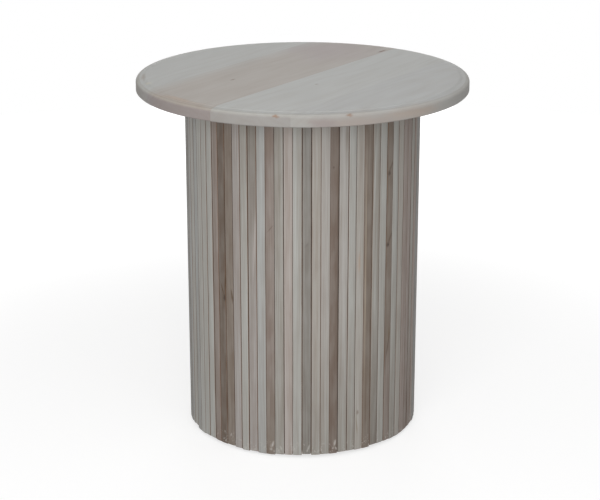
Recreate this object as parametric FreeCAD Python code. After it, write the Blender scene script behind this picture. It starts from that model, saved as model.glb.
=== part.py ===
"""Drum side table: a round top of edge-glued boards on a drum of upright slats.

Millimetres, +Z up. The origin is on the floor under the middle of the top, and +X runs along the grain of the
top. The slats stand around three formers, a disc and two rings, which four posts hold apart. The top is
screwed to the upper former from inside the drum.
"""
import FreeCAD
import Part
import math
import os

# Whole table
TABLE_HEIGHT = 550.0
TOP_DIAMETER = 500.0
TOP_THICKNESS = 20.0
DRUM_DIAMETER = 356.0
SLAT_FLOOR_GAP = 3.0

# Edge of the top: a small step down to a thumbnail curve, then the upright side with an eased lower arris
RIM_BORDER = 12.0
RIM_STEP = 1.5
THUMBNAIL_DROP = 3.5
RIM_ARRIS = 1.2

# Boards of the top, measured across the grain from the joint nearest the middle
MIDDLE_JOINT_OFFSET = -16.5
BOARD_2_WIDTH = 141.5
BOARD_3_WIDTH = 111.5

# Biscuits in the board joints
BISCUIT_LENGTH = 56.0
BISCUIT_WIDTH = 23.0
BISCUIT_THICKNESS = 4.0
BISCUIT_END_MARGIN = 45.0
BISCUITS_PER_JOINT = 3
SLOT_CLEARANCE = 0.15

# Slats of the drum
SLAT_WIDTH = 12.5
SLAT_DEPTH = 12.5
SLAT_ARRIS = 0.7
SLAT_INNER_GAP = 0.15
FIRST_SLAT_ANGLE = -143.4
SLATS_PER_NODE = 2

# Plywood formers inside the drum
FORMER_THICKNESS = 18.0
FORMER_RING_WIDTH = 61.0
BASE_FORMER_RECESS = 4.0

# Posts between the formers
POST_COUNT = 4
POST_SIZE = 30.0
NOTCH_CLEARANCE = 0.2

# Countersunk screws: two in the ends of each post, one across it into the middle former
SCREW_DIAMETER = 5.0
SCREW_HEAD_DIAMETER = 9.6
SCREW_LENGTH = 60.0
SCREW_TIP_LENGTH = 4.0
SCREW_TIP_DIAMETER = 1.0
CROSS_SCREW_COVER = 11.0
FASTENER_CLEARANCE = 0.2
FASTENER_SIDES = 8

# Flange-head screws that hold the top down
FIXING_DIAMETER = 4.5
FIXING_HEAD_DIAMETER = 13.0
FIXING_HEAD_HEIGHT = 3.0
FIXING_CROWN_DIAMETER = 8.0
FIXING_COVER = 7.5
FIXING_SLOT_TRAVEL = 6.0
FIXING_EDGE_MARGIN = 13.0
FIXING_SPREAD = 0.75

# Knock-in glides under the base former
GLIDE_COUNT = 4
GLIDE_DIAMETER = 24.0
GLIDE_EDGE = 2.0
GLIDE_STEM_DIAMETER = 6.0
GLIDE_STEM_LENGTH = 12.0

# Heights and radii that follow from the sizes above
TOP_RADIUS = TOP_DIAMETER / 2
TOP_UNDERSIDE = TABLE_HEIGHT - TOP_THICKNESS
FORMER_RADIUS = DRUM_DIAMETER / 2 - SLAT_DEPTH
RING_INNER_RADIUS = FORMER_RADIUS - FORMER_RING_WIDTH
TOP_FORMER_BASE = TOP_UNDERSIDE - FORMER_THICKNESS
BASE_FORMER_BASE = SLAT_FLOOR_GAP + BASE_FORMER_RECESS
BASE_FORMER_TOP = BASE_FORMER_BASE + FORMER_THICKNESS
MIDDLE_FORMER_BASE = (BASE_FORMER_TOP + TOP_FORMER_BASE - FORMER_THICKNESS) / 2
POST_CENTRE_RADIUS = RING_INNER_RADIUS + POST_SIZE / 2
GLIDE_CENTRE_RADIUS = (RING_INNER_RADIUS + FORMER_RADIUS) / 2

ORIGIN = FreeCAD.Vector(0, 0, 0)
X_AXIS = FreeCAD.Vector(1, 0, 0)
Y_AXIS = FreeCAD.Vector(0, 1, 0)
Z_AXIS = FreeCAD.Vector(0, 0, 1)


def save(name, shapes):
    """Write one node, a single solid or a group of separate ones."""
    shape = shapes[0] if len(shapes) == 1 else Part.makeCompound(shapes)
    shape.exportStep(os.path.join("parts", name + ".step"))
    print(name, len(shape.Solids), "solids, volume", round(shape.Volume, 1))


def turned(shape, degrees, axis=Z_AXIS):
    """A copy of a shape turned about an axis through the origin."""
    copy = shape.copy()
    copy.rotate(ORIGIN, axis, degrees)
    return copy


def moved(shape, x, y, z):
    """A copy of a shape moved to a place."""
    copy = shape.copy()
    copy.translate(FreeCAD.Vector(x, y, z))
    return copy


def evenly_round(count, first_angle):
    """Angles of a number of places spaced evenly round the drum."""
    return [first_angle + 360 / count * index for index in range(count)]


def outline(points, height):
    """A closed flat outline through (x, y) points."""
    corners = [FreeCAD.Vector(x, y, height) for x, y in points]
    return Part.makePolygon(corners + corners[:1])


def prism(points, base, height):
    """An upright prism on an outline of (x, y) points."""
    return Part.Face(outline(points, base)).extrude(FreeCAD.Vector(0, 0, height))


def regular_points(count, radius, first_angle):
    """Corners of a regular outline about the origin."""
    angles = [math.radians(angle) for angle in evenly_round(count, first_angle)]
    return [(radius * math.cos(angle), radius * math.sin(angle)) for angle in angles]


# Small fasteners are drawn with a few flat sides
def fastener_points(diameter):
    """Corners of a fastener's cross-section, with none of them on the X axis."""
    return regular_points(FASTENER_SIDES, diameter / 2, 180 / FASTENER_SIDES)


def fastener(sections):
    """A fastener along +Z through its (diameter, height) sections, from the lowest up."""
    rings = [[FreeCAD.Vector(x, y, height) for x, y in fastener_points(diameter)]
             for diameter, height in sections]
    walls = [rings[0][::-1], rings[-1]]
    for low, high in zip(rings, rings[1:]):
        for side in range(FASTENER_SIDES):
            walls.append([low[side - 1], low[side], high[side], high[side - 1]])
    faces = [Part.Face(Part.makePolygon(wall + wall[:1])) for wall in walls]
    return Part.Solid(Part.Shell(faces))


def countersunk_screw(length, clearance=0.0):
    """A screw with its flat head at z = 0 and its point up, or the hole for it."""
    shank = SCREW_DIAMETER + 2 * clearance
    head = SCREW_HEAD_DIAMETER + 2 * clearance
    cone = (SCREW_HEAD_DIAMETER - SCREW_DIAMETER) / 2
    tip = SCREW_TIP_DIAMETER + 2 * clearance
    return fastener([(head, 0), (shank, cone), (shank, length - SCREW_TIP_LENGTH), (tip, length + clearance)])


def fixing_screw():
    """A flange-head screw with the underside of its head at z = 0."""
    length = FORMER_THICKNESS + TOP_THICKNESS - FIXING_COVER
    return fastener([(FIXING_CROWN_DIAMETER, -FIXING_HEAD_HEIGHT), (FIXING_HEAD_DIAMETER, 0),
                     (FIXING_DIAMETER, 0), (FIXING_DIAMETER, length - SCREW_TIP_LENGTH),
                     (SCREW_TIP_DIAMETER, length)])


def fixing_slot():
    """The slot in the top former, long across the grain, that lets the boards swell and shrink."""
    half_travel = FIXING_SLOT_TRAVEL / 2
    points = [(x, y + math.copysign(half_travel, y))
              for x, y in fastener_points(FIXING_DIAMETER + 2 * FASTENER_CLEARANCE)]
    return prism(points, TOP_FORMER_BASE, FORMER_THICKNESS)


def fixing_pilot():
    """The hole for a fixing screw in the underside of a board."""
    depth = TOP_THICKNESS - FIXING_COVER + FASTENER_CLEARANCE
    return prism(fastener_points(FIXING_DIAMETER + 2 * FASTENER_CLEARANCE), TOP_UNDERSIDE, depth)


# Top
def top_blank():
    """The whole round top before it is divided into boards."""
    step_radius = TOP_RADIUS - RIM_BORDER
    shelf = TABLE_HEIGHT - RIM_STEP
    sweep = (RIM_BORDER ** 2 + THUMBNAIL_DROP ** 2) / (2 * THUMBNAIL_DROP)
    half_turn = math.asin(RIM_BORDER / sweep) / 2
    thumbnail_middle = FreeCAD.Vector(step_radius + sweep * math.sin(half_turn), 0,
                                      shelf - sweep * (1 - math.cos(half_turn)))
    axis_top = FreeCAD.Vector(0, 0, TABLE_HEIGHT)
    step_top = FreeCAD.Vector(step_radius, 0, TABLE_HEIGHT)
    step_foot = FreeCAD.Vector(step_radius, 0, shelf)
    rim_top = FreeCAD.Vector(TOP_RADIUS, 0, shelf - THUMBNAIL_DROP)
    rim_foot = FreeCAD.Vector(TOP_RADIUS, 0, TOP_UNDERSIDE + RIM_ARRIS)
    under_edge = FreeCAD.Vector(TOP_RADIUS - RIM_ARRIS, 0, TOP_UNDERSIDE)
    axis_foot = FreeCAD.Vector(0, 0, TOP_UNDERSIDE)
    profile = [
        Part.makeLine(axis_top, step_top),
        Part.makeLine(step_top, step_foot),
        Part.Arc(step_foot, thumbnail_middle, rim_top).toShape(),
        Part.makeLine(rim_top, rim_foot),
        Part.makeLine(rim_foot, under_edge),
        Part.makeLine(under_edge, axis_foot),
        Part.makeLine(axis_foot, axis_top),
    ]
    return Part.Face(Part.Wire(profile)).revolve(ORIGIN, Z_AXIS, 360)


def board_joints():
    """Places of the glued joints across the grain, along Y."""
    return [MIDDLE_JOINT_OFFSET - BOARD_3_WIDTH, MIDDLE_JOINT_OFFSET, MIDDLE_JOINT_OFFSET + BOARD_2_WIDTH]


def board_bands():
    """Low and high limit of each board along Y, board 1 on the +Y side first."""
    limits = [-TOP_RADIUS] + board_joints() + [TOP_RADIUS]
    return list(zip(limits[:-1], limits[1:]))[::-1]


def biscuit(clearance=0.0):
    """A lens-shaped biscuit lying flat about the origin, or the slot for it."""
    half_length = BISCUIT_LENGTH / 2 + clearance
    half_width = BISCUIT_WIDTH / 2 + clearance
    half_thickness = BISCUIT_THICKNESS / 2 + clearance
    left = FreeCAD.Vector(-half_length, 0, -half_thickness)
    right = FreeCAD.Vector(half_length, 0, -half_thickness)
    back = FreeCAD.Vector(0, half_width, -half_thickness)
    front = FreeCAD.Vector(0, -half_width, -half_thickness)
    lens = Part.Wire([Part.Arc(left, back, right).toShape(), Part.Arc(right, front, left).toShape()])
    return Part.Face(lens).extrude(FreeCAD.Vector(0, 0, 2 * half_thickness))


def biscuit_places():
    """Middle of each biscuit, spread along its joint and clear of the rim."""
    places = []
    for joint in board_joints():
        half_chord = math.sqrt(TOP_RADIUS ** 2 - joint ** 2)
        reach = half_chord - BISCUIT_END_MARGIN - BISCUIT_LENGTH / 2
        for index in range(BISCUITS_PER_JOINT):
            along = -reach + 2 * reach * index / (BISCUITS_PER_JOINT - 1)
            places.append((along, joint, TOP_UNDERSIDE + TOP_THICKNESS / 2))
    return places


def fixing_places():
    """Two screws in each board that lies far enough over the top former."""
    edge = BISCUIT_WIDTH / 2 + FIXING_HEAD_DIAMETER / 2
    reach = FORMER_RADIUS - FIXING_EDGE_MARGIN
    places = []
    for low, high in board_bands():
        seat_low = max(low + edge, -reach)
        seat_high = min(high - edge, reach)
        if seat_high > seat_low:
            across = (seat_low + seat_high) / 2
            along = FIXING_SPREAD * math.sqrt(reach ** 2 - across ** 2)
            places += [(-along, across), (along, across)]
    return places


def top_boards():
    """The boards, cut from the round top, with their biscuit slots and pilot holes."""
    blank = top_blank()
    slots = [moved(biscuit(SLOT_CLEARANCE), *place) for place in biscuit_places()]
    pilots = [moved(fixing_pilot(), x, y, 0) for x, y in fixing_places()]
    boards = []
    for low, high in board_bands():
        corner = FreeCAD.Vector(-TOP_RADIUS, low, TOP_UNDERSIDE)
        band = Part.makeBox(TOP_DIAMETER, high - low, TOP_THICKNESS, corner)
        boards.append(blank.common(band).cut(slots + pilots))
    return boards


# Drum
def slat():
    """One slat on the +X side, its inner face against the formers and its outer long edges eased."""
    inner = FORMER_RADIUS
    outer = FORMER_RADIUS + SLAT_DEPTH
    half = SLAT_WIDTH / 2
    points = [(inner, -half), (outer - SLAT_ARRIS, -half), (outer, -half + SLAT_ARRIS),
              (outer, half - SLAT_ARRIS), (outer - SLAT_ARRIS, half), (inner, half)]
    return prism(points, SLAT_FLOOR_GAP, TOP_UNDERSIDE - SLAT_FLOOR_GAP)


def slat_count():
    """As many slats as fit round the formers with their inner edges just apart."""
    return int(2 * math.pi * FORMER_RADIUS / (SLAT_WIDTH + SLAT_INNER_GAP))


def former_disc(base):
    """A plywood disc whose edge has one flat for each slat."""
    count = slat_count()
    corner_radius = FORMER_RADIUS / math.cos(math.pi / count)
    points = regular_points(count, corner_radius, FIRST_SLAT_ANGLE + 180 / count)
    return prism(points, base, FORMER_THICKNESS)


def former_ring(base):
    """The same with a round opening."""
    opening = Part.makeCylinder(RING_INNER_RADIUS, FORMER_THICKNESS, FreeCAD.Vector(0, 0, base))
    return former_disc(base).cut(opening)


def post_angles():
    """The posts stand on the X and Y axes."""
    return evenly_round(POST_COUNT, 0)


def foot_screw(clearance=0.0):
    """The screw up through the base former into the post on the +X side, or the hole for it."""
    return moved(countersunk_screw(SCREW_LENGTH, clearance), POST_CENTRE_RADIUS, 0, BASE_FORMER_BASE)


def head_screw(clearance=0.0):
    """The screw down through the top former into the same post, or the hole for it."""
    screw = turned(countersunk_screw(SCREW_LENGTH, clearance), 180, X_AXIS)
    return moved(screw, POST_CENTRE_RADIUS, 0, TOP_UNDERSIDE)


def cross_screw(clearance=0.0):
    """The screw through the same post into the middle former, or the hole for it."""
    screw = turned(countersunk_screw(FORMER_RING_WIDTH - CROSS_SCREW_COVER, clearance), 90, Y_AXIS)
    return moved(screw, RING_INNER_RADIUS, 0, MIDDLE_FORMER_BASE + FORMER_THICKNESS / 2)


def at_posts(*shapes):
    """Copies of shapes made for the post on the +X side, one set at each post."""
    return [turned(shape, angle) for angle in post_angles() for shape in shapes]


def post():
    """The post on the +X side, between the base former and the top former, drilled for its screws."""
    corner = FreeCAD.Vector(RING_INNER_RADIUS, -POST_SIZE / 2, BASE_FORMER_TOP)
    blank = Part.makeBox(POST_SIZE, POST_SIZE, TOP_FORMER_BASE - BASE_FORMER_TOP, corner)
    holes = [screw(FASTENER_CLEARANCE) for screw in (foot_screw, head_screw, cross_screw)]
    return blank.cut(holes)


def top_former():
    """The disc that closes the drum's upper end."""
    slots = [moved(fixing_slot(), x, y, 0) for x, y in fixing_places()]
    return former_disc(TOP_FORMER_BASE).cut(slots + at_posts(head_screw(FASTENER_CLEARANCE)))


def middle_former():
    """The ring at half height, notched from the inside for the posts."""
    width = POST_SIZE + 2 * NOTCH_CLEARANCE
    corner = FreeCAD.Vector(0, -width / 2, MIDDLE_FORMER_BASE)
    notch = Part.makeBox(RING_INNER_RADIUS + POST_SIZE, width, FORMER_THICKNESS, corner)
    return former_ring(MIDDLE_FORMER_BASE).cut(at_posts(notch, cross_screw(FASTENER_CLEARANCE)))


def base_former():
    """The ring at the foot of the drum, drilled for the posts' screws and the glides' stems."""
    stem_holes = [turned(glide_stem(FASTENER_CLEARANCE), angle) for angle in glide_angles()]
    return former_ring(BASE_FORMER_BASE).cut(stem_holes + at_posts(foot_screw(FASTENER_CLEARANCE)))


# Glides
def glide_angles():
    """The glides stand half-way between the posts."""
    return evenly_round(GLIDE_COUNT, 180 / GLIDE_COUNT)


def glide_stem(clearance=0.0):
    """The stem of the glide on the +X side, or the hole for it."""
    points = fastener_points(GLIDE_STEM_DIAMETER + 2 * clearance)
    stem = prism(points, BASE_FORMER_BASE, GLIDE_STEM_LENGTH + clearance)
    return moved(stem, GLIDE_CENTRE_RADIUS, 0, 0)


def glide():
    """A round glide with an eased lower edge, on the +X side."""
    centre = FreeCAD.Vector(GLIDE_CENTRE_RADIUS, 0, 0)
    radius = GLIDE_DIAMETER / 2
    edge = Part.makeCone(radius - GLIDE_EDGE, radius, GLIDE_EDGE, centre)
    body = Part.makeCylinder(radius, BASE_FORMER_BASE - GLIDE_EDGE, centre + Z_AXIS * GLIDE_EDGE)
    return edge.fuse([body, glide_stem()]).removeSplitter()


def build():
    """Make every node of the table."""
    os.makedirs("parts", exist_ok=True)
    for number, board in enumerate(top_boards(), 1):
        save("top_board_%d" % number, [board])
    save("top_biscuits", [moved(biscuit(), *place) for place in biscuit_places()])
    save("top_fixing_screws", [moved(fixing_screw(), x, y, TOP_FORMER_BASE) for x, y in fixing_places()])

    save("top_former", [top_former()])
    save("middle_former", [middle_former()])
    save("base_former", [base_former()])
    for number, angle in enumerate(post_angles(), 1):
        save("post_%d" % number, [turned(post(), angle)])
    save("post_screws", at_posts(foot_screw(), head_screw()))
    save("middle_former_screws", at_posts(cross_screw()))

    slats = [turned(slat(), angle) for angle in evenly_round(slat_count(), FIRST_SLAT_ANGLE)]
    for first in range(0, len(slats), SLATS_PER_NODE):
        save("slat_pair_%02d" % (first // SLATS_PER_NODE + 1), slats[first:first + SLATS_PER_NODE])

    save("glides", [turned(glide(), angle) for angle in glide_angles()])


build()
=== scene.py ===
"""Looks of the drum side table: whitewashed maple sticks round a drum, under a glued-up round top.

Sizes are in millimetres and become metres when a mesh is made. The origin is on the floor under the middle
of the top, +Z is up and +X runs along the grain of the top.
"""

import logging
import math
import random
from dataclasses import dataclass
from enum import Enum

import bmesh
import bpy
from mathutils import Matrix, Vector


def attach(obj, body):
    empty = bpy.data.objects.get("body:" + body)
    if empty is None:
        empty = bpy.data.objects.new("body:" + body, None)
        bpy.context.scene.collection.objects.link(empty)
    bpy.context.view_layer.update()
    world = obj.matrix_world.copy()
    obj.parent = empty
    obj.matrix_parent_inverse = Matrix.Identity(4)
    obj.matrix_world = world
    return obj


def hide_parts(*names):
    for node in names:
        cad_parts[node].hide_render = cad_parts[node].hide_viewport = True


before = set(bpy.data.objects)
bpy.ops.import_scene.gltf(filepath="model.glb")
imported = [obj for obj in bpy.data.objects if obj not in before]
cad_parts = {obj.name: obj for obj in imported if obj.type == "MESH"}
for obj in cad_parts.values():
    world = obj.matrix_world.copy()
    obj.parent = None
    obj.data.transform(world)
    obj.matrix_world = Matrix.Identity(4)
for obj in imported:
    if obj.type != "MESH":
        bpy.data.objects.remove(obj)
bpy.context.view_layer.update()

scene = bpy.context.scene
log = logging.getLogger("drum_table")

Tree = bpy.types.NodeTree
Socket = bpy.types.NodeSocket
Material = bpy.types.Material
Shape = bmesh.types.BMesh
Vertex = bmesh.types.BMVert
Edge = bmesh.types.BMEdge

MM = 0.001
TO_METRES = Matrix.Scale(MM, 4)
BODY = "root"
SHARP_ANGLE = math.radians(38)
NOISE_DETAIL = 2.0
EASED = {"interpolation_type": "SMOOTHSTEP"}
WHITE = "#ffffff"

# How near a vertex has to be to count as at a height or depth, or as on a ring, in millimetres
NEAR = 1.0
ON_RING = 0.01

# Place in the wood: a vector on each vertex, grain along its X.
# Each stick and each board has its own stretch of X, in metres
GRAIN = "grain"
STICK_STRIDE = 0.7
BOARD_STRIDE = 2.0

# Tone of the wash on the corners of each stick's faces, with painted shade on the faces between and behind
# the sticks; and painted shade on the rolled edge of the top, which tones down its highlight
WASH_AND_GAP_SHADE = "wash"
ROLL_SHADE = "roll_shade_edge"


def linear(code: str) -> tuple[float, float, float, float]:
    """Turns an sRGB hex colour into the linear colour that a shader takes."""
    shares = [int(code[place:place + 2], 16) / 255 for place in (1, 3, 5)]
    red, green, blue = [s / 12.92 if s <= 0.04045 else ((s + 0.055) / 1.055) ** 2.4 for s in shares]
    return red, green, blue, 1.0


def add_node(tree: Tree, kind: str, inputs: dict | None = None, out: str | int = 0,
             **settings) -> Socket | None:
    """Adds one shader node to a tree.

    Args:
        tree: the tree of a material or the world.
        kind: Blender's name of the node's type, without its first part.
        inputs: a value or another node's socket for each input, by name or number.
        out: the output that is used, by name or number.
        settings: properties of the node.

    Returns:
        The socket of that output, or None where a node has no outputs.
    """
    node = tree.nodes.new("ShaderNode" + kind)
    for name, value in settings.items():
        setattr(node, name, value)
    for key, value in (inputs or {}).items():
        if isinstance(value, Socket):
            tree.links.new(value, node.inputs[key])
        else:
            node.inputs[key].default_value = value
    return node.outputs[out] if node.outputs else None


def new_tree(name: str) -> tuple[Material, Tree]:
    """Starts an empty node material and returns it with its tree."""
    material = bpy.data.materials.new(name)
    material.use_nodes = True
    material.node_tree.nodes.clear()
    return material, material.node_tree


def end_tree(tree: Tree, inputs: dict) -> None:
    """Ends a material with its surface shader, whose inputs are given by name."""
    shader = add_node(tree, "BsdfPrincipled", inputs)
    add_node(tree, "OutputMaterial", {"Surface": shader})


def tint(tree: Tree, under: Socket | str, over: str, cover: Socket, strength: float = 1.0,
         blend: str = "MIX") -> Socket:
    """Lays one colour over another by a share.

    Args:
        tree: the tree of the material.
        under: the colour below, a socket or an sRGB hex colour.
        over: the sRGB hex colour laid on it.
        cover: where it lies, from 0 to 1.
        strength: share at full cover.
        blend: how the two meet.

    Returns:
        The colour socket.
    """
    below = linear(under) if isinstance(under, str) else under
    share = add_node(tree, "Math", {0: cover, 1: strength}, operation="MULTIPLY")
    return add_node(tree, "Mix", {0: share, 6: below, 7: linear(over)}, 2, data_type="RGBA",
                    blend_type=blend)


@dataclass(frozen=True)
class Streaks:
    """Soft streaks along the grain: width and length in millimetres, strength, noise from none to full."""

    width: float
    length: float
    strength: float = 1.0
    low: float = 0.3
    high: float = 0.7

    def cover(self, tree: Tree, place: Socket) -> Socket:
        """Where the streaks lie, from 0 to 1, by a place in metres with the grain along X."""
        scale = tuple(1 / (size * MM) for size in (self.length, self.width, self.width))
        cell = add_node(tree, "VectorMath", {0: place, 1: scale}, operation="MULTIPLY")
        noise = add_node(tree, "TexNoise", {"Vector": cell, "Scale": 1.0, "Detail": NOISE_DETAIL})
        return add_node(tree, "MapRange",
                        {"Value": noise, "From Min": self.low, "From Max": self.high}, **EASED)

    def lay(self, tree: Tree, place: Socket, under: Socket | str, over: str, blend: str = "MIX") -> Socket:
        """Lays one colour over another along the streaks."""
        return tint(tree, under, over, self.cover(tree, place), self.strength, blend)


@dataclass(frozen=True)
class Surface:
    """A matte wood surface: roughness off and on the fibres, their bump and height in mm, and the gloss."""

    smooth: float
    rough: float
    bump: float
    height: float
    gloss: float

    def end(self, tree: Tree, colour: Socket, fibres: Socket) -> None:
        """Ends a material with this surface."""
        rough = add_node(tree, "MapRange", {"Value": fibres, "To Min": self.smooth, "To Max": self.rough})
        bump = add_node(tree, "Bump",
                        {"Height": fibres, "Strength": self.bump, "Distance": self.height * MM})
        end_tree(tree, {"Base Color": colour, "Roughness": rough, "Specular IOR Level": self.gloss,
                        "Normal": bump})


@dataclass(frozen=True)
class Knot:
    """A knot, stain or dab: middle and reach in millimetres, along the grain first, and tilt in degrees.

    Noise makes its edge ragged: distance and noise together are full inside it and gone outside.
    """

    middle: tuple[float, float, float]
    reach: tuple[float, float, float]
    colour: str
    strength: float = 0.8
    tilt: float = 0.0
    ragged: float = 1.6
    full: float = 0.6
    gone: float = 1.5

    def lay(self, tree: Tree, place: Socket, under: Socket) -> Socket:
        """Lays the knot over the wood.

        Args:
            tree: the tree of the material.
            place: the place in the wood, in metres.
            under: the colour of the wood.

        Returns:
            The colour socket.
        """
        middle = tuple(value * MM for value in self.middle)
        scale = tuple(1 / (value * MM) for value in self.reach)
        away = add_node(tree, "VectorMath", {0: place, 1: middle}, operation="SUBTRACT")
        level = add_node(tree, "VectorRotate", {"Vector": away, "Angle": -math.radians(self.tilt)},
                         rotation_type="Z_AXIS")
        cell = add_node(tree, "VectorMath", {0: level, 1: scale}, operation="MULTIPLY")
        noise = add_node(tree, "TexNoise", {"Vector": cell, "Scale": self.ragged, "Detail": NOISE_DETAIL})
        far = add_node(tree, "VectorMath", {0: cell}, "Value", operation="LENGTH")
        ragged = add_node(tree, "Math", {0: far, 1: noise}, operation="ADD")
        cover = add_node(tree, "MapRange",
                         {"Value": ragged, "From Min": self.gone, "From Max": self.full}, **EASED)
        return tint(tree, under, self.colour, cover, self.strength)


class SlatTone(Enum):
    """Tones of the sticks under the thin white wash."""

    PALE = "#b0b0ac"
    SILVER = "#afb1b0"
    CREAM = "#aeaaa4"
    MIST = "#a19e98"
    BLUSH = "#b0a8a3"
    FROST = "#a4a5a3"
    DOVE = "#9c918b"
    STONE = "#888886"
    ASH = "#8b867f"
    ROSE = "#90857e"
    TAN = "#84796f"
    NUT = "#7c6f66"
    UMBER = "#6f6359"
    LILAC = "#a8a3a0"
    SMOKE = "#8c8984"
    PEARL = "#b0ada9"
    # Darker grey for the sticks at the drum's left and right edges: painted shade
    SLATE = "#8d8e8c"


# Tones of the sticks that the photograph shows, from the left edge of the drum to its right edge; the two at
# each end are a darker grey, painted shade where the drum turns away from the light
LEFTMOST_SEEN = -19
SEEN_TONES = [SlatTone[name] for name in (
    "SLATE SLATE FROST PALE FROST PALE PALE PALE ROSE UMBER TAN LILAC MIST ASH SILVER ROSE "
    "MIST BLUSH PALE SMOKE CREAM PEARL NUT PEARL PALE CREAM TAN MIST PALE TAN "
    "PALE CREAM DOVE DOVE MIST DOVE SLATE SLATE"
).split()]

# Shares of the tones, in their order, among the sticks that the photograph doesn't show
TONE_SHARES = (9, 2, 4, 5, 5, 2, 3, 1, 3, 4, 2, 1, 1, 0, 0, 0, 0)


@dataclass(frozen=True)
class FootTone:
    """The tone at a stick's foot, and the shares of its height where the change to it ends and begins."""

    tone: SlatTone
    full: float = 0.3
    gone: float = 0.6


# Sticks whose tone changes towards the foot, counted from the first stick
FOOT_TONES = {stick: FootTone(SlatTone[name], full, gone) for stick, name, full, gone in (
    (-7, "PALE", 0.55, 0.95), (-6, "LILAC", 0.3, 0.95), (-4, "TAN", 0.0, 0.35),
    (1, "MIST", 0.0, 0.3), (2, "MIST", 0.0, 0.4), (4, "MIST", 0.1, 0.5),
    (5, "MIST", 0.05, 0.5), (8, "ASH", 0.1, 0.45), (10, "ROSE", 0.22, 0.32),
    (11, "MIST", 0.05, 0.6), (14, "ROSE", 0.1, 0.5), (15, "ROSE", 0.1, 0.5),
)}


@dataclass(frozen=True)
class StickMark:
    """A knot, flame, dab, band or patch on a stick, in millimetres across and up it.

    A positive tilt leans to the upper right.
    """

    stick: int
    across: float
    height: float
    half_width: float
    half_length: float
    colour: str
    strength: float = 0.7
    tilt: float = 0.0


DARK_KNOT = "#463c35"
FLAME = "#63564b"
FILLER = "#c2beb8"

# Besides knots, flames and dabs, the list holds darker bands down the right-hand edges of sticks 3, 7, 8 and
# -10, a lighter band down the left edge of stick 7, and darker patches at the heads of sticks -4 and 4, just
# under the top
STICK_MARKS = [StickMark(*row) for row in (
    (10, -1.5, 430, 4, 6, DARK_KNOT, 0.75),
    (10, 2, 440, 2.8, 17, FLAME, 0.7, 30),
    (10, -2.5, 321, 3.8, 5.5, DARK_KNOT, 0.95),
    (10, 2, 331, 2.8, 17, FLAME, 0.85, 30),
    (10, 0.5, 160, 1.8, 34, FLAME, 0.9, 11),
    (10, 3, 180, 3, 14, "#75644f", 0.6),
    (-10, 3.6, 241, 3.2, 8, DARK_KNOT, 0.95),
    (-10, -0.2, 254, 1.5, 17, "#54412f", 0.9, -20),
    (-10, 5.2, 262, 1.4, 20, "#54412f", 0.85, 3),
    (-9, 5, 246, 2.4, 17, "#54412f", 0.85, -8),
    (-10, 5.5, 360, 1.8, 110, "#54493f", 0.8),
    (-6, 3.5, 330, 2.6, 70, "#b0a8a3", 0.7, 2),
    (-4, 0, 208, 10, 30, "#7d6f66", 0.7),
    (-4, 1, 360, 1.3, 10, "#75675f", 0.8, 38),
    (-4, 0, 492, 9, 40, "#84756b", 0.6),
    (0, 0, 337, 6, 2.4, "#736e68", 0.6, -60),
    (3, -2, 452, 2, 2.8, DARK_KNOT, 0.55),
    (3, 5, 300, 1.8, 260, "#5b5047", 0.6),
    (6, -2, 302, 3.6, 24, "#ab8d74", 0.4),
    (6, -2, 66, 3, 6, "#7d7064", 0.7),
    (6, -3, 44, 1.8, 26, "#8f8476", 0.7, -6),
    (7, 4.5, 280, 2.4, 240, "#6a5f55", 0.45),
    (7, -4.2, 280, 1.7, 270, "#a39687", 0.8),
    (8, -3, 430, 2, 80, "#b8b8b4", 0.7, 1),
    (8, -0.5, 250, 2.2, 80, "#b8b8b4", 0.6, -1),
    (8, 4.5, 330, 1.6, 160, "#857a6e", 0.6),
    (8, 4, 440, 3, 55, "#857a6e", 0.25),
    (4, 4, 497, 3, 26, "#8d857c", 0.6),
    (-4, 3, 20, 2.2, 8.5, FILLER, 0.75, 14),
    (-4, 0.5, 12, 3.6, 3.4, FILLER, 0.5, 40),
    (-3, 2.5, 15, 2.2, 6.5, FILLER, 0.55, -24),
    (-3, -1, 11, 2, 3, FILLER, 0.5),
    (0, 3, 17, 2, 7.5, FILLER, 0.6, 16),
    (0, 1, 12, 2.6, 3.2, FILLER, 0.45),
    (3, 2.2, 22, 2.4, 8, FILLER, 0.8, 10),
    (3, 4, 13, 2.2, 4.5, FILLER, 0.7, -30),
    (3, -0.5, 14, 2, 3, FILLER, 0.5),
    (-9, 0, 22, 2, 5, FILLER, 0.5, 20),
    (-10, 1, 24, 2, 3.5, FILLER, 0.4),
)]


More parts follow.
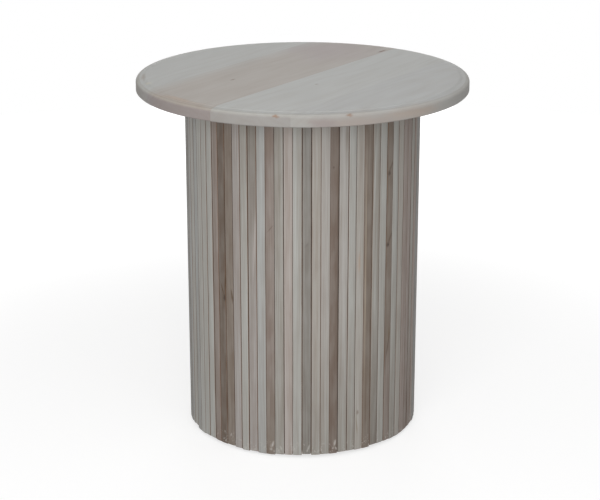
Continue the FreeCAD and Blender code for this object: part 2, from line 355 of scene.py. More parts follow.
@dataclass(frozen=True)
class WhitewashedSticks:
    """Maple sticks brushed with thin white wash and wiped: a milky matte film, the grain showing through.

    Growth lines are about 2 mm wide here, coarser than in maple, so that they show at the photograph's size.
    """

    name: str = "whitewashed_maple_sticks"
    wash_white: str = "#c6c7c3"
    grain_brown: str = "#d0c4ba"
    fibres: Streaks = Streaks(2.0, 90, 0.35)
    bands: Streaks = Streaks(5.0, 320, 0.4)
    clouds: Streaks = Streaks(11, 42, 0.1)
    speck_clusters: Streaks = Streaks(9, 14, low=0.5, high=0.62)
    specks: Streaks = Streaks(1.5, 2.4, low=0.5, high=0.66)
    speck_strength: float = 0.7
    specks_full: float = 10.0
    specks_gone: float = 30.0
    surface: Surface = Surface(0.52, 0.68, 0.25, 0.15, 0.18)

    def material(self, knots: list[Knot]) -> Material:
        """Makes the material with the knots that its sticks have."""
        material, tree = new_tree(self.name)
        place = add_node(tree, "Attribute", out="Vector", attribute_name=GRAIN)
        # Each stick's wash tone, with painted shade on the faces between and behind the sticks
        colour = add_node(tree, "Attribute", out="Color", attribute_name=WASH_AND_GAP_SHADE)
        fibres = self.fibres.cover(tree, place)
        colour = self.bands.lay(tree, place, colour, self.grain_brown, "MULTIPLY")
        colour = tint(tree, colour, self.grain_brown, fibres, self.fibres.strength, "MULTIPLY")
        colour = self.clouds.lay(tree, place, colour, self.wash_white)
        for knot in knots:
            colour = knot.lay(tree, place, colour)
        self.surface.end(tree, self.lay_specks(tree, place, colour), fibres)
        return material

    def lay_specks(self, tree: Tree, place: Socket, under: Socket) -> Socket:
        """Specks of pale filler worked into the feet of the sticks, over the brads there.

        Args:
            tree: the tree of the material.
            place: the place in the wood; each stick has its own stretch of X.
            under: the colour of the wood.

        Returns:
            The colour with the specks.
        """
        along = add_node(tree, "SeparateXYZ", {0: place}, "X")
        height = add_node(tree, "Math", {0: along, 1: STICK_STRIDE}, operation="FLOORED_MODULO")
        gone, full = self.specks_gone * MM, self.specks_full * MM
        low = add_node(tree, "MapRange", {"Value": height, "From Min": gone, "From Max": full})
        clusters = self.speck_clusters.cover(tree, place)
        specks = self.specks.cover(tree, place)
        both = add_node(tree, "Math", {0: clusters, 1: specks}, operation="MULTIPLY")
        cover = add_node(tree, "Math", {0: both, 1: low}, operation="MULTIPLY")
        return tint(tree, under, FILLER, cover, self.speck_strength)


@dataclass(frozen=True)
class WhitewashedBoard:
    """A flat-sawn maple board under the same wash: pale sapwood, rosy heartwood, faint growth lines."""

    name: str
    heart_full: float
    heart_gone: float
    pith: tuple[float, float]
    heart: str = "#bab4ae"
    sap: str = "#c2c3c1"
    wash_white: str = "#c6c7c3"
    grain_brown: str = "#d6c9bd"
    # Tone multiplied onto the upright faces of the board: partly the edge's own pinkish tone, partly painted
    # shade that keeps the sides darker than the top
    side_tone_and_shade: str = "#d7d2d0"
    # Painted shade multiplied onto the upward faces of the rolled edge, which tones down its highlight
    roll_shade: str = "#f4f2ef"
    knots: tuple[Knot, ...] = ()
    sway: Streaks = Streaks(70, 300, low=0.2, high=0.8)
    heart_sway: float = 18.0
    ring_sway: float = 14.0
    ring_spacing: float = 6.5
    ring_stretch: float = 0.02
    ring_low: float = -0.2
    ring_strength: float = 0.07
    fibres: Streaks = Streaks(2.2, 75, 0.06)
    bands: Streaks = Streaks(26, 420, 0.1)
    clouds: Streaks = Streaks(22, 120, 0.1)
    side_shade_from: float = 0.8
    side_shade_full: float = 0.3
    surface: Surface = Surface(0.58, 0.72, 0.2, 0.12, 0.05)

    def material(self) -> Material:
        """Makes the material."""
        material, tree = new_tree(self.name)
        place = add_node(tree, "Attribute", out="Vector", attribute_name=GRAIN)
        across = add_node(tree, "SeparateXYZ", {0: place}, "Y")
        sway = self.sway.cover(tree, place)
        edge = add_node(tree, "Math", {0: sway, 1: self.heart_sway * MM, 2: across},
                        operation="MULTIPLY_ADD")
        gone, full = self.heart_gone * MM, self.heart_full * MM
        heart = add_node(tree, "MapRange", {"Value": edge, "From Min": gone, "From Max": full}, **EASED)
        colour = tint(tree, self.sap, self.heart, heart)
        rings = self.growth_rings(tree, place, sway)
        fibres = self.fibres.cover(tree, place)
        colour = tint(tree, colour, self.grain_brown, rings, self.ring_strength, "MULTIPLY")
        colour = tint(tree, colour, self.grain_brown, fibres, self.fibres.strength, "MULTIPLY")
        colour = self.bands.lay(tree, place, colour, self.grain_brown, "MULTIPLY")
        colour = self.clouds.lay(tree, place, colour, self.wash_white)
        table = add_node(tree, "TexCoord", out="Object")
        for knot in self.knots:
            colour = knot.lay(tree, table, colour)
        # Upright faces darker: partly the edge's own tone, partly painted shade
        facing = add_node(tree, "TexCoord", out="Normal")
        rise = add_node(tree, "SeparateXYZ", {0: facing}, "Z")
        side = add_node(tree, "MapRange",
                        {"Value": rise, "From Min": self.side_shade_from, "From Max": self.side_shade_full})
        colour = tint(tree, colour, self.side_tone_and_shade, side, blend="MULTIPLY")
        # Painted shade on the rolled edge, toning down its highlight
        roll = add_node(tree, "Attribute", out="Fac", attribute_name=ROLL_SHADE)
        colour = tint(tree, colour, self.roll_shade, roll, blend="MULTIPLY")
        self.surface.end(tree, colour, fibres)
        return material

    def growth_rings(self, tree: Tree, place: Socket, sway: Socket) -> Socket:
        """Growth rings round a pith line that runs along the board, from 0 to 1."""
        pith = (0.0, self.pith[0] * MM, self.pith[1] * MM)
        away = add_node(tree, "VectorMath", {0: place, 1: pith}, operation="SUBTRACT")
        stretch = (self.ring_stretch, 1.0, 1.0)
        flat = add_node(tree, "VectorMath", {0: away, 1: stretch}, operation="MULTIPLY")
        far = add_node(tree, "VectorMath", {0: flat}, "Value", operation="LENGTH")
        swayed = add_node(tree, "Math", {0: sway, 1: self.ring_sway * MM, 2: far}, operation="MULTIPLY_ADD")
        turn = add_node(tree, "Math", {0: swayed, 1: 2 * math.pi / (self.ring_spacing * MM)},
                        operation="MULTIPLY")
        wave = add_node(tree, "Math", {0: turn}, operation="SINE")
        return add_node(tree, "MapRange",
                        {"Value": wave, "From Min": self.ring_low, "From Max": 1.0}, **EASED)


@dataclass(frozen=True)
class Plywood:
    """Birch plywood, sawn and left bare: creamy face veneer, striped plies on its cut edges."""

    name: str = "birch_plywood"
    face: str = "#cdb694"
    dark_ply: str = "#9c7d58"
    fibre_tint: str = "#d8c4a4"
    fibres: Streaks = Streaks(2.5, 80, 0.5)
    ply: float = 1.5
    ply_blur: float = 0.3
    roughness: float = 0.7

    def material(self) -> Material:
        """Makes the material."""
        material, tree = new_tree(self.name)
        place = add_node(tree, "TexCoord", out="Object")
        height = add_node(tree, "SeparateXYZ", {0: place}, "Z")
        turn = add_node(tree, "Math", {0: height, 1: math.pi / (self.ply * MM)}, operation="MULTIPLY")
        wave = add_node(tree, "Math", {0: turn}, operation="SINE")
        plies = add_node(tree, "MapRange",
                         {"Value": wave, "From Min": -self.ply_blur, "From Max": self.ply_blur})
        colour = tint(tree, self.face, self.dark_ply, plies)
        colour = self.fibres.lay(tree, place, colour, self.fibre_tint, "MULTIPLY")
        end_tree(tree, {"Base Color": colour, "Roughness": self.roughness})
        return material


@dataclass(frozen=True)
class PlainWood:
    """Planed softwood or beech left bare: one warm tone with darker growth lines along the grain."""

    name: str
    wood: str
    line: str
    lines: Streaks
    upright: bool = False
    fibre_tint: str = "#cdb494"
    fibres: Streaks = Streaks(0.9, 40, 0.35)
    roughness: float = 0.6

    def material(self) -> Material:
        """Makes the material."""
        material, tree = new_tree(self.name)
        place = add_node(tree, "TexCoord", out="Object")
        turn = (0.0, math.pi / 2 if self.upright else 0.0, 0.0)
        along = add_node(tree, "Mapping", {"Vector": place, "Rotation": turn})
        colour = self.lines.lay(tree, along, self.wood, self.line)
        colour = self.fibres.lay(tree, along, colour, self.fibre_tint, "MULTIPLY")
        end_tree(tree, {"Base Color": colour, "Roughness": self.roughness})
        return material


@dataclass(frozen=True)
class ZincSteel:
    """Zinc-plated steel screws: a bright grey metal with a faint cloudy plating."""

    name: str = "zinc_plated_steel"
    metal: str = "#b9bcc0"
    cloud: str = "#8f9296"
    clouds: Streaks = Streaks(3, 3)
    smooth: float = 0.28
    rough: float = 0.42

    def material(self) -> Material:
        """Makes the material."""
        material, tree = new_tree(self.name)
        place = add_node(tree, "TexCoord", out="Object")
        clouds = self.clouds.cover(tree, place)
        colour = tint(tree, self.metal, self.cloud, clouds)
        rough = add_node(tree, "MapRange", {"Value": clouds, "To Min": self.smooth, "To Max": self.rough})
        end_tree(tree, {"Base Color": colour, "Metallic": 1.0, "Roughness": rough})
        return material


@dataclass(frozen=True)
class MouldedNylon:
    """Moulded nylon glides: warm grey, a fine satin mould texture."""

    name: str = "moulded_nylon"
    plastic: str = "#8d8a85"
    mottle: str = "#96938e"
    scuff: str = "#a5a29d"
    grain: Streaks = Streaks(0.8, 0.8)
    scuffs: Streaks = Streaks(2.5, 9, 0.5, 0.5, 0.75)
    bump: float = 0.2
    bump_height: float = 0.05
    roughness: float = 0.45

    def material(self) -> Material:
        """Makes the material."""
        material, tree = new_tree(self.name)
        place = add_node(tree, "TexCoord", out="Object")
        grain = self.grain.cover(tree, place)
        colour = tint(tree, self.plastic, self.mottle, grain)
        colour = self.scuffs.lay(tree, place, colour, self.scuff)
        bump = add_node(tree, "Bump",
                        {"Height": grain, "Strength": self.bump, "Distance": self.bump_height * MM})
        end_tree(tree, {"Base Color": colour, "Roughness": self.roughness, "Normal": bump})
        return material


def make_piece(name: str, shape: Shape, material: Material, slot: str, *nodes: str) -> None:
    """Turns a bmesh into a finished piece that stands for its CAD nodes.

    Args:
        name: name of the piece.
        shape: the bmesh, in metres; it is freed.
        material: the finish.
        slot: material slot of the record; not used.
        nodes: CAD nodes that the piece stands for.
    """
    mesh = bpy.data.meshes.new(name)
    for face in shape.faces:
        face.smooth = True
    shape.to_mesh(mesh)
    shape.free()
    mesh.set_sharp_from_angle(angle=SHARP_ANGLE)
    mesh.materials.append(material)
    piece = bpy.data.objects.new(name, mesh)
    scene.collection.objects.link(piece)
    weighted = piece.modifiers.new("even_shading", "WEIGHTED_NORMAL")
    weighted.keep_sharp = True
    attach(piece, BODY)
    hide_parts(*nodes)
    log.info("piece %s: %d faces", name, len(mesh.polygons))


def joined(shapes: list[Shape]) -> Shape:
    """Puts several shapes into one; they are freed."""
    whole = bmesh.new()
    for shape in shapes:
        mesh = bpy.data.meshes.new("part")
        shape.to_mesh(mesh)
        shape.free()
        whole.from_mesh(mesh)
        bpy.data.meshes.remove(mesh)
    return whole


def draw_line(shape: Shape, points: list[Vertex]) -> None:
    """Joins vertices by edges, one after the other."""
    for one, other in zip(points, points[1:]):
        shape.edges.new((one, other))


def draw_arc(shape: Shape, start: Vertex, centre: Vector, axis: tuple[float, float, float], angle: float,
             steps: int) -> Vertex:
    """Draws an arc from a vertex, by an angle in radians, and returns the vertex where it ends."""
    made = bmesh.ops.spin(shape, geom=[start], cent=centre, axis=axis, angle=angle, steps=steps,
                          use_duplicate=False)
    return [item for item in made["geom_last"] if isinstance(item, Vertex)][0]


def turn_round(shape: Shape, steps: int) -> None:
    """Turns an outline once round the Z axis into a closed shape, in millimetres."""
    bmesh.ops.spin(shape, geom=shape.verts[:] + shape.edges[:], cent=(0, 0, 0), axis=(0, 0, 1),
                   angle=2 * math.pi, steps=steps, use_merge=True, use_duplicate=False)
    bmesh.ops.remove_doubles(shape, verts=shape.verts, dist=0.001)
    bmesh.ops.recalc_face_normals(shape, faces=shape.faces)


def turned(outline: tuple[tuple[float, float], ...], steps: int) -> Shape:
    """A shape turned from an outline of radius and height, in millimetres."""
    shape = bmesh.new()
    draw_line(shape, [shape.verts.new((radius, 0, height)) for radius, height in outline])
    turn_round(shape, steps)
    return shape


def round_edges(shape: Shape, edges: list[Edge], size: float, segments: int) -> None:
    """Rounds edges by a width in the shape's own unit."""
    bmesh.ops.bevel(shape, geom=edges, offset=size, offset_type="OFFSET", segments=segments, profile=0.5,
                    affect="EDGES", material=-1, clamp_overlap=True)


@dataclass(frozen=True)
class Joint:
    """Where two sticks meet: its shift from the even place at foot and head, its gap and its bare edge."""

    foot_shift: float
    head_shift: float
    gap: float
    bare: float


@dataclass
class Drum:
    """The wall of upright sticks, two in each piece, planed to meet at the face and slightly crowned."""

    radius: float = 178.0
    count: int = 82
    depth: float = 12.5
    crown_radius: float = 58.0
    crown_steps: int = 6
    arris: float = 0.5
    arris_steps: int = 2
    first_angle: float = -143.4
    foot: float = 3.0
    head: float = 530.0
    gap: tuple[float, float] = (0.25, 0.9)
    bare_arris: tuple[float, float] = (0.1, 1.0)
    uneven_joint: float = 0.6
    uneven_run: float = 0.25
    set_back: float = 0.35
    uneven_foot: float = 3.6
    rings: int = 14
    raw_wood: str = "#9a7a63"
    # The faces between and behind the sticks take a dark colour: bare wood darkened with dust, and painted
    # shade in the gaps and inside the drum
    gap_dust_and_shade: str = "#574639"
    front_slope: float = 0.4
    side_slope: float = 0.9
    back_slope: float = -0.5
    seed: int = 11

    def tone(self, index: int, stream: random.Random) -> tuple[SlatTone, FootTone]:
        """The tones at the head and the foot of one stick, counted from the first."""
        drawn = stream.choices(list(SlatTone), weights=TONE_SHARES)[0]
        signed = index if index <= self.count // 2 else index - self.count
        seen = signed - LEFTMOST_SEEN
        upper = SEEN_TONES[seen] if 0 <= seen < len(SEEN_TONES) else drawn
        return upper, FOOT_TONES.get(signed, FootTone(upper))

    def knot(self, mark: StickMark) -> Knot:
        """A mark on a stick as a knot at its place in the wood."""
        along = mark.height + mark.stick % self.count * STICK_STRIDE / MM
        reach = (mark.half_length, mark.half_width, self.depth)
        return Knot((along, mark.across, self.radius), reach, mark.colour, mark.strength, mark.tilt)

    def joint(self, stream: random.Random) -> Joint:
        """Draws one joint."""
        shift = stream.uniform(-self.uneven_joint, self.uneven_joint)
        run = stream.uniform(-self.uneven_run, self.uneven_run)
        return Joint(shift - run, shift + run, stream.uniform(*self.gap), stream.uniform(*self.bare_arris))

    def slat(self, index: int, before: Joint, after: Joint, stream: random.Random) -> Shape:
        """One stick between its two joints, a little set back or shorter than its neighbours.

        Args:
            index: the stick's number from the first.
            before: the joint on its -Y side.
            after: the joint on its +Y side.
            stream: the drum's own random numbers.

        Returns:
            The stick in its place, in metres.
        """
        upper, lower = self.tone(index, stream)
        outer = self.radius - stream.uniform(0, self.set_back)
        foot = self.foot + stream.uniform(0, self.uneven_foot)
        inner = self.radius - self.depth
        half_turn = math.pi / self.count
        back = inner * half_turn
        half = self.radius * half_turn
        crown = math.asin(half / self.crown_radius)
        axis = Vector((outer - self.crown_radius, 0, foot))
        shape = bmesh.new()
        first = shape.verts.new(axis + self.crown_radius * Vector((math.cos(crown), -math.sin(crown), 0)))
        last = draw_arc(shape, first, axis, (0, 0, 1), 2 * crown, self.crown_steps)
        behind = [shape.verts.new((inner, side, foot)) for side in (back, -back)]
        draw_line(shape, [last, *behind, first])
        bmesh.ops.edgeloop_fill(shape, edges=shape.edges[:])
        made = bmesh.ops.extrude_face_region(shape, geom=shape.faces[:])
        lifted = [item for item in made["geom"] if isinstance(item, Vertex)]
        bmesh.ops.translate(shape, vec=(0, 0, self.head - foot), verts=lifted)
        bmesh.ops.recalc_face_normals(shape, faces=shape.faces)
        for vert in shape.verts:
            high = vert.co.z > self.head - NEAR
            open_share = 0.5 if vert.co.x > inner + NEAR else 0.0
            low_side = (before.head_shift if high else before.foot_shift) + before.gap * open_share
            high_side = (after.head_shift if high else after.foot_shift) - after.gap * open_share
            share = (vert.co.y + half) / (2 * half)
            vert.co.y += low_side + (high_side - low_side) * share
        corners = [edge for edge in shape.edges if edge.calc_face_angle() > SHARP_ANGLE]
        eased = [edge for edge in corners if min(vert.co.z for vert in edge.verts) < self.head - NEAR]
        round_edges(shape, eased, self.arris, self.arris_steps)
        long_edges = [edge for edge in shape.edges if edge.calc_length() > (self.head - foot) / 2]
        bmesh.ops.subdivide_edges(shape, edges=long_edges, cuts=self.rings, use_grid_fill=True)
        self.mark(shape, index, upper, lower, (before.bare, after.bare))
        turn = Matrix.Rotation(math.radians(self.first_angle + index * 360 / self.count), 4, "Z")
        bmesh.ops.transform(shape, matrix=turn @ TO_METRES, verts=shape.verts)
        return shape

    def mark(self, shape: Shape, index: int, upper: SlatTone, lower: FootTone,
             bare: tuple[float, float]) -> None:
        """Writes the place in the wood and the tone; the wash thins on the arrises and stops between sticks,
        where the faces between and behind the sticks get dark dusty wood and painted shade.

        Args:
            shape: the stick in its own place, face towards +X.
            index: the stick's number from the first.
            upper: the tone of its upper part.
            lower: the tone of its foot.
            bare: share of raw wood on its -Y and +Y arris.
        """
        grain = shape.verts.layers.float_vector.new(GRAIN)
        wash = shape.loops.layers.float_color.new(WASH_AND_GAP_SHADE)
        for vert in shape.verts:
            vert[grain] = (vert.co.z * MM + index * STICK_STRIDE, vert.co.y * MM, vert.co.x * MM)
        shape.normal_update()
        colours = (self.raw_wood, self.gap_dust_and_shade, upper.value, lower.tone.value)
        raw, dust_and_shade, head, toe = [Vector(linear(code)) for code in colours]
        for face in shape.faces:
            side = face.normal.y
            # Faces between and behind the sticks get the dark colour: dusty bare wood and painted shade
            between = abs(side) > self.side_slope or face.normal.x < self.back_slope
            worn = bare[0] if side < 0 else bare[1]
            if abs(side) < self.front_slope:
                worn = 0.0
            for loop in face.loops:
                up = (loop.vert.co.z - self.foot) / (self.head - self.foot)
                share = min(max((up - lower.full) / (lower.gone - lower.full), 0.0), 1.0)
                loop[wash] = dust_and_shade if between else toe.lerp(head, share).lerp(raw, worn)

    def build(self, finish: WhitewashedSticks) -> None:
        """Builds all the sticks, two to a piece."""
        stream = random.Random(self.seed)
        joints = [self.joint(stream) for _ in range(self.count)]
        material = finish.material([self.knot(mark) for mark in STICK_MARKS])
        for pair in range(self.count // 2):
            sticks = [self.slat(index, joints[index - 1], joints[index], stream)
                      for index in (2 * pair, 2 * pair + 1)]
            number = f"{pair + 1:02d}"
            make_piece(f"slats_{number}", joined(sticks), material, "slat_maple", f"slat_pair_{number}")


@dataclass
class RoundTop:
    """The round top: four edge-glued boards with a soft step and a thumbnail edge that rolls to the side."""

    radius: float = 250.0
    underside: float = 530.0
    top: float = 550.0
    border: float = 14.5
    step: float = 1.5
    step_run: float = 3.0
    step_head_easing: float = 1.6
    step_foot_easing: float = 1.2
    easing_steps: int = 3
    thumbnail_turn: float = 11.0
    thumbnail_steps: int = 5
    edge_radius: float = 5.2
    edge_steps: int = 6
    # Faces on the rolled edge that face up more than this get painted shade
    roll_shade_slope: float = 0.4
    arris: float = 1.2
    joints: tuple[float, ...] = (-128.0, -16.5, 125.0)
    steps: int = 200

    def blank(self) -> Shape:
        """The whole top turned from its outline, in millimetres."""
        shape = bmesh.new()
        shelf = self.top - self.step
        inner = self.radius - self.border
        foot = inner + self.step_run
        turn = math.radians(self.thumbnail_turn)
        sweep = (self.radius - foot - self.edge_radius * (1 - math.sin(turn))) / math.sin(turn)
        start = shape.verts.new((foot, 0, shelf))
        low = Vector((foot, 0, shelf - sweep))
        shoulder = draw_arc(shape, start, low, (0, 1, 0), turn, self.thumbnail_steps)
        drop = self.edge_radius * math.cos(turn)
        roll = Vector((self.radius - self.edge_radius, 0, shoulder.co.z - drop))
        end = draw_arc(shape, shoulder, roll, (0, 1, 0), math.pi / 2 - turn, self.edge_steps)
        upper = [(0, 0, self.top), (inner, 0, self.top)]
        lower = [(self.radius, 0, self.underside + self.arris),
                 (self.radius - self.arris, 0, self.underside), (0, 0, self.underside)]
        draw_line(shape, [*[shape.verts.new(point) for point in upper], start])
        draw_line(shape, [end, *[shape.verts.new(point) for point in lower]])
        turn_round(shape, self.steps)
        self.ease(shape, inner, self.top, self.step_head_easing)
        self.ease(shape, foot, shelf, self.step_foot_easing)
        # Painted shade on the upward faces of the rolled edge
        roll_shade = shape.faces.layers.float.new(ROLL_SHADE)
        for face in shape.faces:
            on_roll = face.calc_center_median().xy.length > self.radius - self.edge_radius
            face[roll_shade] = 1.0 if on_roll and face.normal.z > self.roll_shade_slope else 0.0
        return shape

    def ease(self, shape: Shape, radius: float, height: float, size: float) -> None:
        """Rounds the ring of edges at one radius and height by a width."""
        def on_ring(vert: Vertex) -> bool:
            """True for a vertex on that ring."""
            return abs(vert.co.xy.length - radius) < ON_RING and abs(vert.co.z - height) < ON_RING

        ring = [edge for edge in shape.edges if all(on_ring(vert) for vert in edge.verts)]
        round_edges(shape, ring, size, self.easing_steps)

    def board(self, blank: Shape, low: float | None, high: float | None, number: int) -> Shape:
        """Cuts one board out of the blank between two joints.

        Args:
            blank: the whole top.
            low: the joint on its -Y side, or None at the rim.
            high: the joint on its +Y side, or None at the rim.
            number: the board's number.

        Returns:
            The board in metres, with its place in the wood.
        """
        shape = blank.copy()
        for joint, side in ((low, -1), (high, 1)):
            if joint is None:
                continue
            whole = shape.verts[:] + shape.edges[:] + shape.faces[:]
            cut = bmesh.ops.bisect_plane(shape, geom=whole, dist=0.0001, plane_co=(0, joint, 0),
                                         plane_no=(0, side, 0), clear_outer=True)
            edges = [item for item in cut["geom_cut"] if isinstance(item, Edge)]
            bmesh.ops.edgeloop_fill(shape, edges=edges)
        bmesh.ops.recalc_face_normals(shape, faces=shape.faces)
        bmesh.ops.scale(shape, vec=(MM, MM, MM), verts=shape.verts)
        grain = shape.verts.layers.float_vector.new(GRAIN)
        for vert in shape.verts:
            vert[grain] = vert.co + Vector((number * BOARD_STRIDE, 0, 0))
        return shape

    def build(self, finishes: tuple[WhitewashedBoard, ...]) -> None:
        """Builds the boards from the +Y side to the -Y side."""
        blank = self.blank()
        ends = [None, *self.joints, None]
        for number, finish in enumerate(finishes, 1):
            shape = self.board(blank, ends[-1 - number], ends[-number], number)
            make_piece(f"board_{number}", shape, finish.material(), "top_maple", f"top_board_{number}")
        blank.free()


class HeadShape(Enum):
    """Shapes of a screw's head."""

    COUNTERSUNK = "countersunk"
    FLANGED = "flanged"


@dataclass(frozen=True)
class Screw:
    """A wood screw with a six-sided socket, in millimetres: its head seats at z = 0 and its point is up."""

    head: HeadShape
    head_diameter: float
    diameter: float
    length: float
    point: float = 4.0
    edge: float = 0.3
    edge_height: float = 0.2
    head_height: float = 3.0
    crown_diameter: float = 8.0
    crown_edge: float = 0.5
    flange_heights: tuple[float, float, float] = (1.4, 0.9, 0.5)
    socket: float = 3.6
    socket_depth: float = 1.8
    socket_dish: float = 0.4
    steps: int = 24

    def outline(self) -> tuple[tuple[float, float], ...]:
        """Radius and height from the floor of the socket round the head to the point."""
        shank = self.diameter / 2
        rim = self.head_diameter / 2
        crown = self.crown_diameter / 2
        socket = self.socket / 2
        if self.head is HeadShape.COUNTERSUNK:
            flat = 0.0
            head = [(rim - self.edge, 0.0), (rim, self.edge_height), (shank, rim - shank)]
        else:
            flat = -self.head_height
            root, slope, lip = self.flange_heights
            head = [(crown - self.crown_edge, flat), (crown, flat + self.crown_edge),
                    (crown + self.edge, -root), (rim - self.edge, -slope), (rim, -lip), (rim, 0.0),
                    (shank, 0.0)]
        floor = flat + self.socket_depth
        hollow = [(0.0, floor + self.socket_dish), (socket, floor), (socket, flat)]
        return *hollow, *head, (shank, self.length - self.point), (0.0, self.length)

    def shape(self, place: Matrix) -> Shape:
        """The screw at a place given in millimetres; the shape is in metres."""
        shape = turned(self.outline(), self.steps)
        for vert in shape.verts:
            if abs(vert.co.xy.length - self.socket / 2) < ON_RING:
                corner = math.atan2(vert.co.y, vert.co.x) % math.radians(60) - math.radians(30)
                vert.co.xy = vert.co.xy / math.cos(corner)
        bmesh.ops.transform(shape, matrix=TO_METRES @ place, verts=shape.verts)
        return shape


@dataclass
class InnerFrame:
    """What holds the sticks and the top: plywood formers, pine posts, beech biscuits, screws and glides."""

    post_radius: float = 119.5
    post_size: float = 30.0
    post_arris: float = 1.0
    arris_steps: int = 2
    post_foot: float = 25.0
    post_head: float = 512.0
    former_foot: float = 7.0
    former_head: float = 530.0
    cross_height: float = 268.5
    long_screw: Screw = Screw(HeadShape.COUNTERSUNK, 9.6, 5.0, 60.0)
    cross_screw: Screw = Screw(HeadShape.COUNTERSUNK, 9.6, 5.0, 50.0)
    fixing_screw: Screw = Screw(HeadShape.FLANGED, 13.0, 4.5, 30.5)
    fixing_reach: float = 152.5
    fixing_spread: float = 0.75
    fixing_rows: tuple[float, ...] = (147.75, 54.25, -72.25, -149.25)
    glide_radius: float = 135.0
    glide_first: float = 45.0
    glide_steps: int = 48
    glide_outline: tuple[tuple[float, float], ...] = (
        (0, 0), (9.2, 0), (10.6, 0.5), (11.6, 1.4), (12, 2.6), (12, 6.4), (11.4, 7),
        (3, 7), (3, 18), (2, 19), (0, 19),
    )

    def dress(self, node: str, material: Material) -> None:
        """Gives a CAD node its finish."""
        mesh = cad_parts[node].data
        mesh.materials.clear()
        mesh.materials.append(material)
        log.info("node %s: %s", node, material.name)

    def quarters(self, first: float = 0.0) -> list[Matrix]:
        """Four turns round the table from a first angle in degrees."""
        return [Matrix.Rotation(math.radians(first + 90 * number), 4, "Z") for number in range(4)]

    def post(self, turn: Matrix) -> Shape:
        """A post with planed arrises, on the +X side before its turn, in metres."""
        size = Vector((self.post_size, self.post_size, self.post_head - self.post_foot))
        middle = Vector((self.post_radius, 0, (self.post_head + self.post_foot) / 2))
        place = Matrix.Translation(middle) @ Matrix.Diagonal(size.to_4d())
        shape = bmesh.new()
        bmesh.ops.create_cube(shape, size=1.0, matrix=place)
        upright = [edge for edge in shape.edges if edge.calc_length() > size.z / 2]
        round_edges(shape, upright, self.post_arris, self.arris_steps)
        bmesh.ops.transform(shape, matrix=TO_METRES @ turn, verts=shape.verts)
        return shape

    def screws(self, steel: Material) -> None:
        """The screws in the posts, across them, and up into the top."""
        half_turn = Matrix.Rotation(math.pi, 4, "X")
        quarter_turn = Matrix.Rotation(math.pi / 2, 4, "Y")
        up = Matrix.Translation((self.post_radius, 0, self.former_foot))
        down = Matrix.Translation((self.post_radius, 0, self.former_head)) @ half_turn
        inner = self.post_radius - self.post_size / 2
        outward = Matrix.Translation((inner, 0, self.cross_height)) @ quarter_turn
        ends = [self.long_screw.shape(turn @ place) for turn in self.quarters() for place in (up, down)]
        make_piece("post_end_screws", joined(ends), steel, "screw_steel", "post_screws")
        across = [self.cross_screw.shape(turn @ outward) for turn in self.quarters()]
        make_piece("cross_screws", joined(across), steel, "screw_steel", "middle_former_screws")
        fixings = []
        for row in self.fixing_rows:
            along = self.fixing_spread * math.sqrt(self.fixing_reach ** 2 - row ** 2)
            for side in (-along, along):
                fixings.append(self.fixing_screw.shape(Matrix.Translation((side, row, self.post_head))))
        make_piece("fixing_screws", joined(fixings), steel, "screw_steel", "top_fixing_screws")

    def build(self) -> None:
        """Builds the posts, screws and glides and dresses the formers and biscuits."""
        plywood = Plywood().material()
        for node in ("top_former", "middle_former", "base_former"):
            self.dress(node, plywood)
        self.dress("top_biscuits", BEECH.material())
        pine = PINE.material()
        for number, turn in enumerate(self.quarters(), 1):
            make_piece(f"pine_post_{number}", self.post(turn), pine, "post_pine", f"post_{number}")
        self.screws(ZincSteel().material())
        feet = []
        for turn in self.quarters(self.glide_first):
            shape = turned(self.glide_outline, self.glide_steps)
            place = TO_METRES @ turn @ Matrix.Translation((self.glide_radius, 0, 0))
            bmesh.ops.transform(shape, matrix=place, verts=shape.verts)
            feet.append(shape)
        make_piece("floor_glides", joined(feet), MouldedNylon().material(), "glide_nylon", "glides")


@dataclass(frozen=True)
class Softbox:
    """A square soft light: its place in degrees and millimetres, size in metres and power in watts."""

    name: str
    azimuth: float
    distance: float
    height: float
    size: float
    power: float


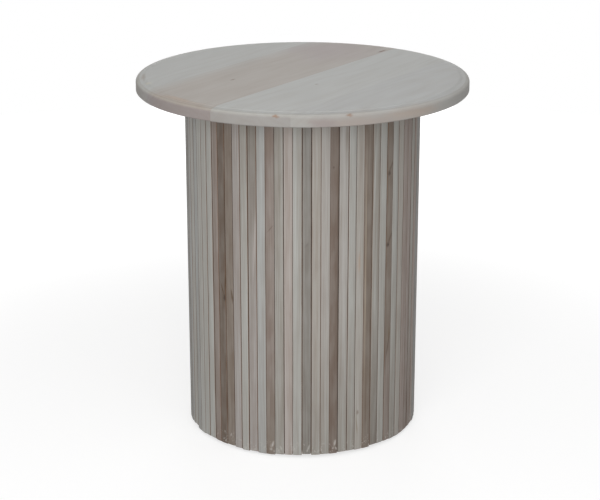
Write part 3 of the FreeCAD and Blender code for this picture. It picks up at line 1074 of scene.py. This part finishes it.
@dataclass
class Studio:
    """Floor, light and camera."""

    azimuth: float = -55.4
    distance: float = 2586.1
    eye_height: float = 1128.5
    pitch: float = 18.345
    turn: float = 0.087
    lens: float = 105.34
    sensor: float = 36.0
    ambient: float = 0.31
    aim_height: float = 300.0
    floor_radius: float = 2.1
    floor_sides: int = 96
    floor_tone: str = "#b0b0b0"
    floor_roughness: float = 0.9
    floor_glow: float = 0.68
    near_floor: float = 0.5
    far_floor: float = 1.7

    def camera(self) -> None:
        """The camera where the photograph was taken from."""
        data = bpy.data.cameras.new("camera")
        data.lens = self.lens
        data.sensor_width = self.sensor
        data.sensor_fit = "HORIZONTAL"
        eye = bpy.data.objects.new("camera", data)
        eye.location = self.around(self.azimuth, self.distance, self.eye_height)
        eye.rotation_euler = (math.radians(90 - self.pitch), 0, math.radians(self.azimuth + self.turn))
        scene.collection.objects.link(eye)
        scene.camera = eye

    def around(self, azimuth: float, distance: float, height: float) -> Vector:
        """A place round the table, in metres."""
        angle = math.radians(azimuth)
        return Vector((math.sin(angle) * distance, -math.cos(angle) * distance, height)) * MM

    def looked_at(self, tree: Tree) -> Socket:
        """1 for what the camera sees, straight or reflected, and 0 for light on the table."""
        seen = add_node(tree, "LightPath", out="Is Camera Ray")
        for kind in ("Is Glossy Ray", "Is Transmission Ray"):
            ray = add_node(tree, "LightPath", out=kind)
            seen = add_node(tree, "Math", {0: seen, 1: ray}, operation="MAXIMUM")
        return seen

    def floor(self) -> None:
        """A pale floor that keeps the table's soft shadow and turns to the background's white far out."""
        shape = bmesh.new()
        bmesh.ops.create_circle(shape, cap_ends=True, segments=self.floor_sides, radius=self.floor_radius)
        mesh = bpy.data.meshes.new("floor")
        shape.to_mesh(mesh)
        shape.free()
        material, tree = new_tree("pale_studio_floor")
        place = add_node(tree, "TexCoord", out="Object")
        away = add_node(tree, "VectorMath", {0: place}, "Value", operation="LENGTH")
        white = add_node(tree, "MapRange",
                         {"Value": away, "From Min": self.near_floor, "From Max": self.far_floor,
                          "To Min": self.floor_glow}, **EASED)
        glow = add_node(tree, "Math", {0: self.looked_at(tree), 1: white}, operation="MULTIPLY")
        end_tree(tree, {"Base Color": linear(self.floor_tone), "Roughness": self.floor_roughness,
                        "Specular IOR Level": 0.0, "Emission Color": linear(WHITE),
                        "Emission Strength": glow})
        mesh.materials.append(material)
        floor = bpy.data.objects.new("floor", mesh)
        scene.collection.objects.link(floor)

    def world(self) -> None:
        """Even light from all round, and a white background."""
        world = bpy.data.worlds.new("studio")
        scene.world = world
        world.use_nodes = True
        tree = world.node_tree
        tree.nodes.clear()
        strength = add_node(tree, "MapRange", {"Value": self.looked_at(tree), "To Min": self.ambient})
        background = add_node(tree, "Background", {"Color": linear(WHITE), "Strength": strength})
        add_node(tree, "OutputWorld", {"Surface": background})

    def lamp(self, softbox: Softbox) -> None:
        """Sets up a soft light, turned to the table."""
        data = bpy.data.lights.new(softbox.name, "AREA")
        data.size = softbox.size
        data.energy = softbox.power
        lamp = bpy.data.objects.new(softbox.name, data)
        lamp.location = self.around(softbox.azimuth, softbox.distance, softbox.height)
        aim = Vector((0, 0, self.aim_height * MM)) - lamp.location
        lamp.rotation_euler = aim.to_track_quat("-Z", "Y").to_euler()
        lamp.visible_camera = False
        scene.collection.objects.link(lamp)

    def build(self) -> None:
        """Sets the camera, floor, world and lamps."""
        scene.view_settings.view_transform = "Standard"
        self.camera()
        self.floor()
        self.world()
        for softbox in SOFTBOXES:
            self.lamp(softbox)


SOFTBOXES = (
    Softbox("front_softbox", -66.0, 3200, 1000, 2.4, 62.0),
    Softbox("rear_softbox", 124.6, 3200, 700, 1.4, 36.0),
    Softbox("left_softbox", -135.4, 2200, 500, 1.2, 2.5),
    Softbox("right_softbox", 24.6, 2200, 500, 1.2, 4.0),
    Softbox("high_softbox", -46.0, 1300, 2300, 1.6, 14.2),
)

STICKS = WhitewashedSticks()
BEECH = PlainWood("pressed_beech", "#b98f68", "#9c7350", Streaks(1.4, 240, low=0.42, high=0.62))
PINE = PlainWood("planed_pine", "#c9a878", "#a87f4e", Streaks(3.5, 240, low=0.42, high=0.62), upright=True)

BOARDS = (
    WhitewashedBoard("whitewashed_maple_board_1", -400, -300, (190, 480), knots=(
        Knot((-181, 150, 550), (10, 8, 6), "#d0ccbd", 0.6),
        Knot((-150, 185, 549), (36, 5, 6), "#a09082", 0.4, 38),
    )),
    WhitewashedBoard("whitewashed_maple_board_2", 102, 150, (40, 470), side_tone_and_shade="#d6d1d4", knots=(
        Knot((170, 60, 550), (130, 110, 30), "#b1a7a6", 0.7),
        Knot((-234, 50, 549), (11, 66, 7), "#bea590", 0.35, -12),
        Knot((206, -11, 550), (17, 3.5, 6), "#7d6b61", 0.9),
        Knot((-92, 62, 550), (9, 3, 6), "#8d7c71"),
    )),
    WhitewashedBoard("whitewashed_maple_board_3", -400, -300, (-70, 490), knots=(
        Knot((-224.5, -110, 546), (5, 8, 4), "#a9876f"),
        Knot((-46.5, -57, 550), (5, 4, 5), "#9d928a", 0.6),
    )),
    # Board 4's upright faces get a lighter tone than the other boards: painted light for the right-hand part
    # of its side, which the lamps light less
    WhitewashedBoard("whitewashed_maple_board_4", -400, -300, (-200, 480), sap="#bfc0bf",
                     side_tone_and_shade="#e5e2df", knots=(
        Knot((-162, -190.4, 546), (7, 7, 4), "#a07f65"),
        Knot((-150, -197, 533), (110, 40, 18), "#b9b1ac", 0.9, -38),
        Knot((-188, -165, 534), (30, 14, 14), "#b0a8a7", 0.85, -49),
        Knot((-70, -240, 537), (70, 24, 14), "#c0b6ae", 0.9, -17),
    )),
)


def main() -> None:
    """Builds the studio and the table's parts in order."""
    logging.basicConfig(level=logging.INFO, format="%(name)s %(message)s")
    Studio().build()
    Drum().build(STICKS)
    RoundTop().build(BOARDS)
    InnerFrame().build()


if __name__ == "__main__":
    main()
